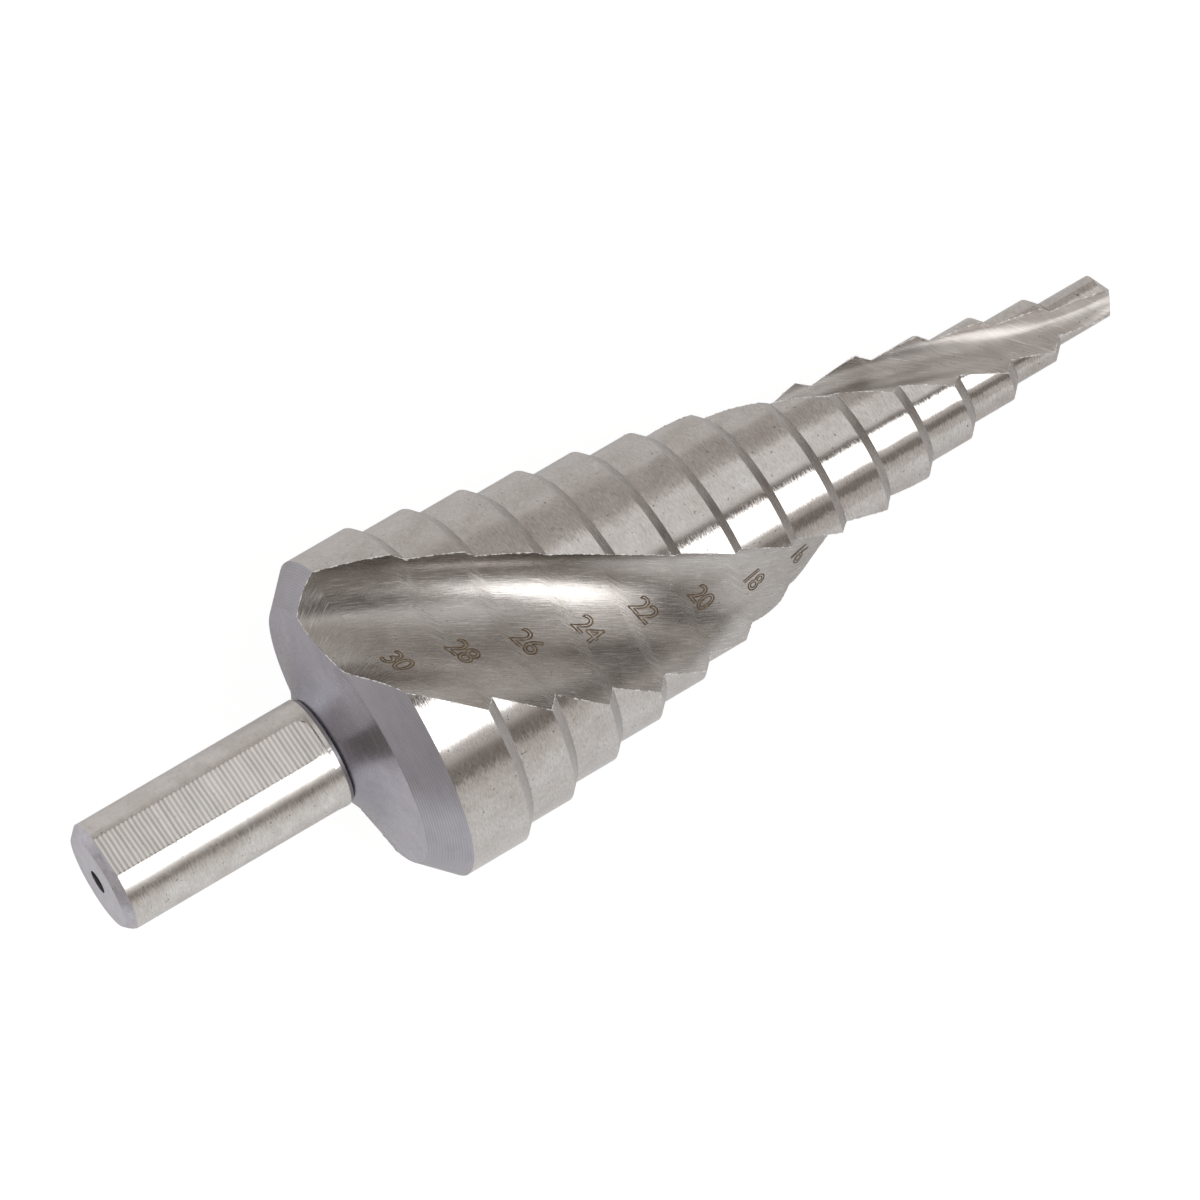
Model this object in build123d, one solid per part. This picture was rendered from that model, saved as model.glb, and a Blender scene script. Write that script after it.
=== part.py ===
from build123d import *
import os
from itertools import pairwise
from math import ceil, cos, radians, sin, sqrt, tan

os.makedirs("parts", exist_ok=True)

# Two-flute stepped cone drill, 4 to 30 mm in 2 mm steps, all sizes in millimetres.
# Drill frame: Z runs along the axis towards the point, and Z = 0 is the back edge of the widest step.
# Angles about the axis grow in the direction of cutting.
# Part frame: the drill lies on its side as it would come to rest, its point towards +X.

# Stepped cone
largest_diameter = 30.0
diameter_step = 2.0
step_count = 14
first_step_length = 6.5
step_pitch = 5.1
shoulder_angle = 45.0
back_chamfer = 2.8
back_face_depth = 2.45
back_face_angle = 15.0
back_face_root = 7.0

# Point
point_angle = 118.0
lip_clearance = 12.0

# Shank
shank_diameter = 10.0
shank_end = 27.1
shank_chamfer = 0.75
shank_chamfer_crown = 0.02
neck_diameter = 9.6
neck_width = 0.35
centre_hole_diameter = 2.1
centre_hole_depth = 3.0
centre_cone_angle = 60.0
chuck_flat_count = 3
chuck_flat_depth = 0.36
chuck_flat_margin = 0.35
chuck_flat_corner = 1.2
chuck_flat_side_gap = 0.05
chuck_flat_turn = -17.8

# Flutes: the leading edge starts at flute_start and twists faster towards the point
flute_count = 2
flute_start = -59.0
flute_twist = 1.95
flute_twist_gain = 0.035
flute_width = 62.5
flute_width_gain = 0.3
flute_run_out = 9.0
flute_over_run = 4.0
flute_station_pitch = 12.0
flute_deepening_start = 45.0
flute_point_depth = 1.8

# Flute section: share of the flute's width from the cutting edge, share of the rim radius.
# It runs down the cutting face, along the floor and up the heel wall, and starts and ends clear of the body.
flute_section = [
    (0.02, 1.120),
    (0.00, 1.000),
    (-0.02, 0.900),
    (0.06, 0.755),
    (0.20, 0.685),
    (0.44, 0.672),
    (0.73, 0.760),
    (0.91, 0.930),
    (1.00, 1.000),
    (1.12, 1.120),
]
flute_mouth = 1.5

# Rest: the side of the drill that is down, over an open flute, and how far its point dips
rest_side = 178.32
rest_dip = 9.43
rest_tolerance = 0.01

largest_radius = largest_diameter / 2
radius_step = diameter_step / 2
shank_radius = shank_diameter / 2
neck_radius = neck_diameter / 2
shoulder_length = radius_step / tan(radians(shoulder_angle))
smallest_radius = largest_radius - radius_step * (step_count - 1)
point_step_end = first_step_length + step_pitch * (step_count - 1)
point_length = smallest_radius / tan(radians(point_angle / 2))
tip = point_step_end + point_length
neck_end = back_chamfer + back_face_depth


def step_radius(index):
    """Radius of one step, the widest first."""
    return largest_radius - radius_step * index


def rim_radius(height):
    """Radius at a height of the cone that touches the front rim of every step."""
    front_rim = first_step_length - shoulder_length
    slope = radius_step / step_pitch
    return max(largest_radius - (height - front_rim) * slope, smallest_radius)


def edge_angle(height):
    """Angle in degrees of the leading cutting edge at a height."""
    return flute_start + flute_twist * height + flute_twist_gain * height**2 / 2


def polar(radius, angle, height=0.0):
    """Point at a radius and an angle in degrees."""
    return Vector(radius * cos(radians(angle)), radius * sin(radians(angle)), height)


def blank():
    """Turned body: shank, neck, back face with its root curve, back chamfer, steps, point."""
    ring_radius = largest_radius - back_chamfer
    back_root = (back_face_root, -back_chamfer - (ring_radius - back_face_root) * tan(radians(back_face_angle)))
    back_way = (-cos(radians(back_face_angle)), -sin(radians(back_face_angle)))
    with BuildPart() as body:
        with BuildSketch(Plane.XZ):
            with BuildLine():
                end = Line((0, -shank_end), (shank_radius - shank_chamfer, -shank_end))
                rim = SagittaArc(end @ 1, (shank_radius, shank_chamfer - shank_end), shank_chamfer_crown)
                shank = Polyline(
                    rim @ 1,
                    (shank_radius, -neck_end - neck_width),
                    (neck_radius, -neck_end - neck_width),
                    (neck_radius, -neck_end),
                )
                TangentArc(back_root, shank @ 1, tangent=back_way)
                corners = [back_root, (ring_radius, -back_chamfer), (largest_radius, 0)]
                for index in range(step_count - 1):
                    shoulder_end = first_step_length + step_pitch * index
                    corners.append((step_radius(index), shoulder_end - shoulder_length))
                    corners.append((step_radius(index + 1), shoulder_end))
                corners.append((smallest_radius, point_step_end))
                corners.append((0, tip))
                front = Polyline(*corners)
                Line(front @ 1, end @ 0)
            make_face()
        revolve(axis=Axis.Z)
    return body.part


def flute_profile(height):
    """Closed section of one flute at a height, open to the outside of the body."""
    radius = rim_radius(height)
    start = edge_angle(height)
    width = flute_width + flute_width_gain * height
    way = max(0.0, height - flute_deepening_start) / (tip - flute_deepening_start)
    depth = 1 + (flute_point_depth - 1) * way
    points = []
    for width_share, radius_share in flute_section:
        reach = radius * (1 - (1 - radius_share) * depth)
        points.append(polar(reach, start + width * width_share, height))
    mouth = [polar(radius * flute_mouth, start + width, height), polar(radius * flute_mouth, start, height)]
    wall = Edge.make_spline(points)
    closing = [Edge.make_line(*ends) for ends in pairwise([points[-1], *mouth, points[0]])]
    return Face(Wire([wall, *closing]))


def flute():
    """Solid ground out by one flute, twisted round the cone and tapering with it."""
    length = tip + flute_run_out + flute_over_run
    spans = ceil(length / flute_station_pitch)
    heights = [-flute_run_out + length * number / spans for number in range(spans + 1)]
    return loft([flute_profile(height) for height in heights])


def chuck_flats():
    """Tools for the flats that the chuck jaws grip, with rounded inner corners."""
    length = shank_end - neck_end - neck_width - chuck_flat_margin
    half_width = sqrt(shank_radius**2 - (shank_radius - chuck_flat_depth) ** 2)
    with BuildPart() as tool:
        Box(shank_radius, 2 * (half_width + chuck_flat_side_gap), 2 * length)
        inner = tool.edges().filter_by(Axis.X).group_by(Axis.Z)[-1]
        fillet(inner, chuck_flat_corner)
    reach = shank_radius - chuck_flat_depth + shank_radius / 2
    turn = 360 / chuck_flat_count
    return [
        Rot(Z=chuck_flat_turn + turn * number) * Pos(reach, 0, -shank_end) * tool.part
        for number in range(chuck_flat_count)
    ]


def centre_hole():
    """Lathe centre hole in the end of the shank."""
    radius = centre_hole_diameter / 2
    cone_depth = radius / tan(radians(centre_cone_angle / 2))
    with BuildPart() as hole:
        with BuildSketch(Plane.XZ):
            Polygon(
                (0, -shank_end),
                (radius, -shank_end),
                (radius, centre_hole_depth - cone_depth - shank_end),
                (0, centre_hole_depth - shank_end),
                align=None,
            )
        revolve(axis=Axis.Z)
    return hole.part


def point_relief(number):
    """Tool that grinds the clearance behind one of the two lips at the point."""
    lip_angle = edge_angle(point_step_end) + 360 / flute_count * number
    fall = tan(radians(90 - point_angle / 2))
    along_lip = polar(1, lip_angle, -fall)
    behind_lip = polar(1, lip_angle - 90, -tan(radians(lip_clearance)))
    normal = along_lip.cross(behind_lip)
    if normal.Z < 0:
        normal = -normal
    plane = Plane(origin=(0, 0, tip), x_dir=along_lip, z_dir=normal)
    reach = 4 * smallest_radius
    side = 1 if plane.y_dir.dot(behind_lip) > 0 else -1
    return plane * Pos(0, side * reach / 2, reach / 2) * Box(2 * reach, reach, reach)


def step_drill():
    """The whole drill in its own frame, axis along Z."""
    body = blank()
    for tool in chuck_flats():
        body = body - tool
    body = body - centre_hole()
    groove = flute()
    for number in range(flute_count):
        body = body - Rot(Z=360 / flute_count * number) * groove
    for number in range(flute_count):
        body = body - point_relief(number)
    return body


def laid_down(body):
    """The body on its rest side, the middle of its bounding box's base at the origin."""
    turned = Rot(Y=90 + rest_dip) * Rot(Z=-rest_side) * body
    corners, _ = turned.tessellate(rest_tolerance)
    along, across, up = zip(*(tuple(corner) for corner in corners))
    return Pos(-(min(along) + max(along)) / 2, -(min(across) + max(across)) / 2, -min(up)) * turned


drill = laid_down(step_drill())
export_step(drill, "parts/step_drill.step")
print("volume", drill.volume, "solids", len(drill.solids()), drill.bounding_box())
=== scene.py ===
"""Looks of a ground steel step drill that lies on a pale studio floor.

All drill sizes are in millimetres in the drill's own frame: Z runs along the axis towards the point,
Z = 0 is the back edge of the widest step, and angles about the axis grow in the direction of cutting.
"""

import logging
import math
from dataclasses import dataclass, field
from enum import Enum, IntEnum

import bpy
import numpy as np
from mathutils import Matrix, Vector
from mathutils.bvhtree import BVHTree


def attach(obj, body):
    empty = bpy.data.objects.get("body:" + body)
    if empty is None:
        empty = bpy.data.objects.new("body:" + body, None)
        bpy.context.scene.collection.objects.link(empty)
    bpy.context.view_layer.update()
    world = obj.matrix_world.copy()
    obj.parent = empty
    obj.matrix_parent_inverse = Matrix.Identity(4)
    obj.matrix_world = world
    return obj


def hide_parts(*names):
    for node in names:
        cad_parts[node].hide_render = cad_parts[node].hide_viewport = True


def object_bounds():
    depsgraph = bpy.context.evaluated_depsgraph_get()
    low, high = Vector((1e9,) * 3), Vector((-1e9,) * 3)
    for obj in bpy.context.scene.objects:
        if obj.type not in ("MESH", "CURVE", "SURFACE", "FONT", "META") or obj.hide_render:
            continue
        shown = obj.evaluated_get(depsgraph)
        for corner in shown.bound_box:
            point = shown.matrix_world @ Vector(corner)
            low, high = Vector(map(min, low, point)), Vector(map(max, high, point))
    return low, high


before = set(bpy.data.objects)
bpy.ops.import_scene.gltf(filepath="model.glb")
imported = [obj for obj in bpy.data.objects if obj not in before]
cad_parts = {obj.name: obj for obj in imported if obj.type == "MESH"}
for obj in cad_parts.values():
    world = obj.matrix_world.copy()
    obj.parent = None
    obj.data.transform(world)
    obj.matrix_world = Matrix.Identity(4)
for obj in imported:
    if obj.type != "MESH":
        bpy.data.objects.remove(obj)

CAD_BOX = [list(corner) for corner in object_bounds()]
MM = 0.001
LOG = logging.getLogger("step_drill")
Array = np.ndarray
Tree = bpy.types.NodeTree
Node = bpy.types.Node
Socket = bpy.types.NodeSocket


class Region(IntEnum):
    """Surfaces of the drill, each with its own finish. The value is the material slot."""

    LAND = 0
    SHOULDER = 1
    FLUTE = 2
    BACK = 3
    SHANK = 4
    FLAT = 5
    CENTRE = 6
    POINT = 7
    NECK = 8
    CHAMFER = 9
    END = 10


class Guide(Enum):
    """Attributes that carry a pattern's own coordinates, in mm."""

    DRILL = "drill_mm"
    FLUTE = "flute_mm"


def linear(colour: str) -> tuple[float, float, float, float]:
    """Turns an sRGB hex colour into linear values.

    Args:
        colour: six hex digits after a hash.

    Returns:
        Red, green, blue and an alpha of 1.
    """
    shares = [int(colour[k:k + 2], 16) / 255 for k in (1, 3, 5)]
    return (*[c / 12.92 if c <= 0.04045 else ((c + 0.055) / 1.055) ** 2.4 for c in shares], 1.0)


def add_node(tree: Tree, kind: str, settings: dict | None = None, feeds: dict | None = None) -> Node:
    """Adds one node with its settings, socket values and links.

    Args:
        tree: the material's or world's node tree.
        kind: the node's type name, without the words that all shader nodes share.
        settings: properties of the node itself.
        feeds: by input name or number, a value, an output socket, or a node for its first output in use.

    Returns:
        The new node.
    """
    node = tree.nodes.new("ShaderNode" + kind)
    for name, value in (settings or {}).items():
        setattr(node, name, value)
    for name, value in (feeds or {}).items():
        if isinstance(value, Node):
            value = next(socket for socket in value.outputs if socket.enabled)
        if isinstance(value, Socket):
            tree.links.new(value, node.inputs[name])
        else:
            node.inputs[name].default_value = value
    return node


def empty_material(name: str) -> tuple[bpy.types.Material, Tree]:
    """Makes a material that has no nodes yet.

    Args:
        name: the real material and its process.

    Returns:
        The material and its node tree.
    """
    material = bpy.data.materials.new(name)
    material.use_nodes = True
    material.node_tree.nodes.clear()
    return material, material.node_tree


def polar(radius: Array | float, turn: Array | float, height: Array | float) -> Array:
    """Turns radii, angles in radians and heights into points, one in each row."""
    return np.stack(np.broadcast_arrays(radius * np.cos(turn), radius * np.sin(turn), height), axis=-1)


def way_along(line: Array) -> Array:
    """Measures the way from a line's start to each of its points."""
    return np.concatenate([[0], np.cumsum(np.linalg.norm(np.diff(line, axis=0), axis=1))])


@dataclass(frozen=True)
class Rest:
    """How the drill lies on the floor.

    Attributes:
        side: angle about the axis that is down, in degrees.
        dip: how far the point dips, in degrees.
        shift: place of the drill frame's origin in the part's frame.
    """

    side: float = 178.32
    dip: float = 9.43
    shift: tuple[float, float, float] = (-22.786, 0.0, 15.094)

    def matrix(self) -> Matrix:
        """Places the drill frame, in mm, in the part's frame, in metres.

        Returns:
            The matrix from the one to the other.
        """
        turn = Matrix.Rotation(math.radians(90 + self.dip), 4, "Y")
        turn = turn @ Matrix.Rotation(math.radians(-self.side), 4, "Z")
        return Matrix.Scale(MM, 4) @ Matrix.Translation(self.shift) @ turn

    def turn(self) -> Matrix:
        """Turns directions of the drill frame into the part's."""
        return self.matrix().to_3x3().normalized()

    def lay(self, points: Array) -> list[list[float]]:
        """Lays points down with the drill and keeps them inside the solid's box.

        Args:
            points: points in the drill frame, one in each row.

        Returns:
            Their places in the part's frame.
        """
        placed = self.matrix()
        low, high = CAD_BOX
        return np.array([placed @ Vector(point) for point in points]).clip(low, high).tolist()


REST = Rest()


@dataclass(frozen=True)
class Ring:
    """One turn of vertices round the drill's skin.

    Attributes:
        points: their places in the drill frame.
        flute: their ways along and across the flute's scratches, and their heights.
        region: the surface between this ring and the next, outside the flutes.
        normals: directions of the flutes' walls at the vertices, zero elsewhere.
    """

    points: Array
    flute: Array
    region: Region
    normals: Array | None = None


@dataclass(frozen=True)
class Flutes:
    """Law of the two ground flutes, the same as the solid's.

    Attributes:
        start: angle of the cutting edge at height 0, in degrees.
        twist: its growth for each mm of height, and twist_gain how that grows.
        width: angle from the cutting edge to the heel, and width_gain its growth for each mm.
        deepening_start: height from which the flutes deepen towards the point.
        point_depth: depth at the tip, as a multiple of the section's.
        section: share of the width, and radius as a share of the rim's.
        scratch_angle: lean of the grinding scratches, in degrees.
        wall_share: mean radius of the wall as a share of the rim's.
        samples: points along the smoothed section.
    """

    count: int = 2
    start: float = -59.0
    twist: float = 1.95
    twist_gain: float = 0.035
    width: float = 62.5
    width_gain: float = 0.3
    deepening_start: float = 45.0
    point_depth: float = 1.8
    section: tuple[tuple[float, float], ...] = (
        (0.02, 1.120), (0.00, 1.000), (-0.02, 0.900), (0.06, 0.755), (0.20, 0.685),
        (0.44, 0.672), (0.73, 0.760), (0.91, 0.930), (1.00, 1.000), (1.12, 1.120),
    )
    scratch_angle: float = 40.0
    wall_share: float = 0.85
    samples: int = 400

    def edge(self, height: Array | float) -> Array | float:
        """Angle of the cutting edge at a height, in degrees."""
        return self.start + self.twist * height + self.twist_gain * height**2 / 2

    def spread(self, height: Array | float) -> Array | float:
        """Angle from the cutting edge to the heel at a height, in degrees."""
        return self.width + self.width_gain * height

    def scratch_guide(self, heights: Array, across: Array, rim: Array) -> Array:
        """Lays coordinates along and across the grinding scratches.

        Args:
            heights: heights of the vertices.
            across: their way along the flute's wall from the cutting edge.
            rim: radius of the lands beside them.

        Returns:
            Ways along and across the scratches, and the height.
        """
        round_way = across + np.radians(self.edge(heights)) * rim * self.wall_share
        lean = math.radians(self.scratch_angle)
        along = heights * math.cos(lean) + round_way * math.sin(lean)
        return np.column_stack([along, round_way * math.cos(lean) - heights * math.sin(lean), heights])

    def smooth_section(self) -> tuple[Array, Array]:
        """Runs a natural cubic spline through the section.

        Returns:
            The width shares and the radius shares of its samples.
        """
        knots = np.array(self.section)
        way = way_along(knots * (math.radians(self.width), 1.0))
        gap = np.diff(way)
        inner = len(way) - 2
        bend = np.zeros_like(knots)
        system = np.diag(2 * (gap[:-1] + gap[1:])) + np.diag(gap[1:-1], 1) + np.diag(gap[1:-1], -1)
        slopes = np.diff(knots, axis=0) / gap[:, None]
        bend[1:inner + 1] = np.linalg.solve(system, 6 * np.diff(slopes, axis=0))
        at = np.linspace(0, way[-1], self.samples)
        k = np.clip(np.searchsorted(way, at) - 1, 0, inner)
        h, a, b = (values[:, None] for values in (gap[k], way[k + 1] - at, at - way[k]))
        curve = (bend[k] * a**3 + bend[k + 1] * b**3) / (6 * h)
        curve += (knots[k] / h - bend[k] * h / 6) * a + (knots[k + 1] / h - bend[k + 1] * h / 6) * b
        return curve[:, 0], curve[:, 1]


@dataclass
class DrillSkin:
    """The whole outer skin of the drill as one closed mesh.

    Attributes:
        back_face_angle: slope of the hollow back face where it leaves the chamfer, in degrees. The solid's
            back face is a straight cone, up to about 0.2 mm outside this one.
        relief: how much nearer the point a shoulder lies at its cutting edge than at its heel.
        relief_start: height from which the relief fades in, and relief_fade the way over which it does.
        trim_gap: gap from one ring to the next where the point's clearance cuts the smallest step.
        flute_columns: vertices across one flute.
        land_columns: vertices along one land.
        flat_columns: vertices across one chuck flat.
        crowding: how much closer a flute's vertices stand at its edges.
        slice_pitch: distance between rings on a land.
        corner_slices: spans between rings on a chamfer and on a chuck flat's rounded corner.
        point_rings_count: rings of the point as far as the flutes' floors, and outside of them.
        back_rings_count: rings of the back face outside of back_split, and inside of it.
        hole_slices: spans between rings on the centre hole's wall, and on its cone.
        hole_tip: radius at which the cone is closed, as a share of the hole's.
        outline_points: points on each rounded corner of a chuck flat's outline.
        outline_side: length of the outline's straight sides.
        tip_radii: radii of the two rings nearest the axis at the point.
        floor_gap: gap between the rings at both sides of the flutes' floors.
        tip_opening: half angle kept for a flute's vertices at the tip, where it no longer cuts, in degrees.
        back_opening: the same inside of back_split on the back face.
        back_split: radius that no flute reaches on the back face.
        back_fade: way over which back_opening grows, inwards from back_split.
        split_gap: gap between the rings at both sides of back_split.
        wall_step: height up and down over which the direction of a flute's wall is taken.
        sharp_angle: angle between faces from which an edge is sharp, in degrees.
        least_cut: depth above which a flute counts as cutting into a ring.
        touch: how far a face may lie off the shank's round and still belong to it.
    """

    largest_radius: float = 15.0
    radius_step: float = 1.0
    step_count: int = 14
    first_step_length: float = 6.5
    step_pitch: float = 5.1
    back_chamfer: float = 2.8
    back_face_depth: float = 2.45
    back_face_angle: float = 6.0
    back_face_root: float = 7.0
    point_angle: float = 118.0
    lip_clearance: float = 12.0
    shank_radius: float = 5.0
    shank_end: float = 27.1
    shank_chamfer: float = 0.75
    neck_radius: float = 4.8
    neck_width: float = 0.35
    centre_radius: float = 1.05
    centre_depth: float = 3.0
    centre_cone_angle: float = 60.0
    flat_count: int = 3
    flat_depth: float = 0.36
    flat_margin: float = 0.35
    flat_corner: float = 1.2
    flat_turn: float = -17.8
    relief: float = 0.565
    relief_start: float = 1.0
    relief_fade: float = 3.0
    trim_gap: float = 0.02
    flute_columns: int = 84
    land_columns: int = 78
    flat_columns: int = 38
    crowding: float = 0.06
    slice_pitch: float = 0.5
    shoulder_slices: int = 3
    corner_slices: int = 8
    point_rings_count: tuple[int, int] = (8, 11)
    back_rings_count: tuple[int, int] = (12, 9)
    root_slices: int = 14
    shank_slices: int = 11
    end_slices: int = 5
    hole_slices: tuple[int, int] = (4, 5)
    hole_tip: float = 0.02
    outline_points: int = 8
    outline_side: float = 6.0
    tip_radii: tuple[float, float] = (0.004, 0.08)
    floor_gap: float = 0.02
    tip_opening: float = 42.0
    back_opening: float = 46.0
    back_split: float = 11.0
    back_fade: float = 2.5
    split_gap: float = 0.3
    wall_step: float = 0.2
    sharp_angle: float = 25.0
    least_cut: float = 1e-4
    touch: float = 0.01
    flutes: Flutes = field(default_factory=Flutes)

    def __post_init__(self) -> None:
        """Works out the sizes that follow from the driving ones."""
        self.shoulder_length = self.radius_step
        self.smallest_radius = self.largest_radius - self.radius_step * (self.step_count - 1)
        self.point_end = self.first_step_length + self.step_pitch * (self.step_count - 1)
        self.point_fall = 1 / math.tan(math.radians(self.point_angle / 2))
        self.tip = self.point_end + self.smallest_radius * self.point_fall
        self.ring_radius = self.largest_radius - self.back_chamfer
        self.neck_end = self.back_chamfer + self.back_face_depth
        self.flat_start = self.neck_end + self.neck_width + self.flat_margin
        self.flat_reach = self.shank_radius - self.flat_depth
        self.flat_half = math.sqrt(self.shank_radius**2 - self.flat_reach**2)
        self.section = self.flutes.smooth_section()
        self.flute_turn = 360 / self.flutes.count
        self.sector = self.flute_columns + self.land_columns
        self.columns = self.flutes.count * self.sector
        self.per_flat = self.columns // self.flat_count

    def rim(self, height: Array | float) -> Array:
        """Radius of the cone that touches the front rim of every step."""
        way = height - (self.first_step_length - self.shoulder_length)
        return np.maximum(self.largest_radius - way * self.radius_step / self.step_pitch, self.smallest_radius)

    def relief_share(self, height: float) -> float:
        """Works out how far the shoulder relief holds: not at the back edge and not at the point.

        Args:
            height: nominal height of a ring.

        Returns:
            Share of the relief, from 0 to 1.
        """
        rise = np.clip((height - self.relief_start) / self.relief_fade, 0, 1)
        return float(rise * np.clip((self.point_end - height) / self.relief_fade, 0, 1))

    def flute_curve(self, height: float, lean: float) -> tuple[Array, Array, Array]:
        """Samples one flute's wall at a height.

        Args:
            height: nominal height of the ring.
            lean: how much higher the cutting edge lies than the heel.

        Returns:
            Heights, radii and angles in degrees from the cutting edge to the heel.
        """
        width_share, radius_share = self.section
        heights = height + lean * (0.5 - np.linspace(0, 1, len(width_share)))
        way = np.maximum(0, heights - self.flutes.deepening_start) / (self.tip - self.flutes.deepening_start)
        depth = 1 + (self.flutes.point_depth - 1) * way
        radii = self.rim(heights) * (1 - (1 - radius_share) * depth)
        return heights, radii, self.flutes.edge(heights) + self.flutes.spread(heights) * width_share

    def wall_spots(self, height: float, lean: float, places: Array) -> Array:
        """Finds points of a flute's wall.

        Args:
            height: nominal height of the ring.
            lean: how much higher the cutting edge lies than the heel.
            places: places along the sampled section.

        Returns:
            One point for each place.
        """
        h, r, a = (np.interp(places, np.arange(len(row)), row) for row in self.flute_curve(height, lean))
        return polar(r, np.radians(a), h)

    def wall_normals(self, height: float, lean: float, places: Array) -> Array:
        """Works out the direction of a flute's wall.

        Args:
            height: nominal height of the ring.
            lean: how much higher the cutting edge lies than the heel.
            places: places along the sampled section.

        Returns:
            One direction for each place, away from the metal.
        """
        up, down = (self.wall_spots(height + way, lean, places) for way in (self.wall_step, -self.wall_step))
        after, before = (self.wall_spots(height, lean, places + way) for way in (2, -2))
        away = np.cross(after - before, up - down)
        return away / np.linalg.norm(away, axis=1)[:, None]

    def fluted_ring(self, height: float, radius: float, region: Region, opening: float = 0.0) -> Ring:
        """Makes a ring where the flutes may cut the skin.

        Args:
            height: nominal height.
            radius: radius of the lands there.
            region: surface of the lands from this ring to the next.
            opening: half angle kept for the flutes' vertices where the flutes no longer cut, in degrees.

        Returns:
            The ring.
        """
        lean = self.relief * self.relief_share(height)
        curve = self.flute_curve(height, lean)
        _, radii, angles = curve
        low = int(np.argmin(radii))
        share = np.linspace(0, 1, self.flute_columns + 1)
        if radii[low] < radius:
            first = np.nonzero(radii[:low] >= radius)[0][-1]
            last = low + np.nonzero(radii[low:] >= radius)[0][0]
            start = first + (radii[first] - radius) / (radii[first] - radii[first + 1])
            end = last - (radii[last] - radius) / (radii[last] - radii[last - 1])
            at = start + (end - start) * (share - self.crowding * np.sin(2 * np.pi * share))
            flute_h, flute_r, flute_a = (np.interp(at, np.arange(len(radii)), row) for row in curve)
            flute_r[[0, -1]] = radius
            normals = self.wall_normals(height, lean, at)
        else:
            flute_h, flute_r = np.full(len(share), height), np.full(len(share), radius)
            flute_a = angles[low] + opening * (2 * share - 1)
            normals = np.zeros((len(share), 3))
        steps = np.hypot(np.diff(flute_r), np.radians(np.diff(flute_a)) * flute_r[1:])
        across = np.concatenate([[0], np.cumsum(steps)])
        way = np.linspace(0, 1, self.land_columns + 1)[:-1]
        land_a = flute_a[-1] + (flute_a[0] + self.flute_turn - flute_a[-1]) * way
        land_h = flute_h[-1] + (flute_h[0] - flute_h[-1]) * way
        one_a = np.concatenate([flute_a[:-1], land_a])
        all_a = np.concatenate([one_a + self.flute_turn * k for k in range(self.flutes.count)])
        lands = ((flute_r, np.full(self.land_columns, radius)), (flute_h, land_h),
                 (across, np.full(self.land_columns, across[-1])))
        all_r, all_h, all_across = (np.tile(np.concatenate([row[:-1], land]), self.flutes.count)
                                    for row, land in lands)
        flute = self.flutes.scratch_guide(all_h, all_across, self.rim(all_h))
        one_side = np.concatenate([normals, np.zeros((self.land_columns - 1, 3))])
        return Ring(polar(all_r, np.radians(all_a), all_h), flute, region,
                    np.concatenate([one_side, one_side * (-1, -1, 1)]))

    def flat_middles(self) -> list[float]:
        """Angles of the chuck flats' middles, in degrees."""
        return [self.flat_turn + 360 / self.flat_count * k for k in range(self.flat_count)]

    def shank_angles(self) -> Array:
        """Spreads the shank's columns, with one at both sides of each chuck flat.

        Returns:
            Their angles, in degrees.
        """
        half = math.degrees(math.acos(self.flat_reach / self.shank_radius))
        outer = self.per_flat - self.flat_columns
        parts = []
        for middle in self.flat_middles():
            parts.append(np.linspace(middle - half, middle + half, self.flat_columns))
            parts.append(np.linspace(middle + half, middle - half + 360 / self.flat_count, outer + 1)[:-1])
        return np.concatenate(parts)

    def shank_roll(self) -> int:
        """Finds how far the shank's columns are rolled to meet the fluted ones.

        Returns:
            Number of columns by which they start before them.
        """
        first = self.fluted_ring(-self.neck_end, self.back_face_root, Region.BACK, self.back_opening).points[0]
        gap = self.shank_angles() - math.degrees(math.atan2(first[1], first[0]))
        return int(np.argmin(np.abs((gap + 180) % 360 - 180)))

    def round_ring(self, height: float, radius: float, region: Region) -> Ring:
        """Makes a plain round ring of the shank's columns.

        Args:
            height: height of the ring.
            radius: its radius.
            region: surface from this ring to the next.

        Returns:
            The ring.
        """
        points = polar(radius, np.radians(self.shank_angles()), height)
        return Ring(points, np.zeros_like(points), region)

    def flatted_ring(self, height: float, radius: float, half_width: float) -> Ring:
        """Makes a ring of the shank with its chuck flats.

        Args:
            height: height of the ring.
            radius: radius of the round stretches.
            half_width: half the flats' width there.

        Returns:
            The ring.
        """
        ring = self.round_ring(height, radius, Region.SHANK)
        reach = min(half_width, math.sqrt(max(radius**2 - self.flat_reach**2, 0)))
        if reach <= 0:
            return ring
        edge = math.asin(reach / radius)
        spots = np.linspace(-reach, reach, self.flat_columns - 2)[:, None]
        for k, degrees in enumerate(self.flat_middles()):
            first, last = k * self.per_flat, k * self.per_flat + self.flat_columns - 1
            middle = math.radians(degrees)
            side = np.array([-math.sin(middle), math.cos(middle), 0])
            ring.points[first + 1:last] = polar(self.flat_reach, middle, height) + spots * side
            ring.points[first] = polar(radius, middle - edge, height)
            ring.points[last] = polar(radius, middle + edge, height)
        return ring

    def rings(self) -> list[Ring]:
        """Lists all rings of the skin.

        Returns:
            The rings from the point back to the bottom of the centre hole.
        """
        roll = self.shank_roll()
        rings = [*self.point_rings(), *self.step_rings(), *self.back_rings()]
        round_rings = [*self.root_rings(), *self.shank_rings()]
        return rings + [Ring(np.roll(ring.points, -roll, axis=0), ring.flute, ring.region)
                        for ring in round_rings]

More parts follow.
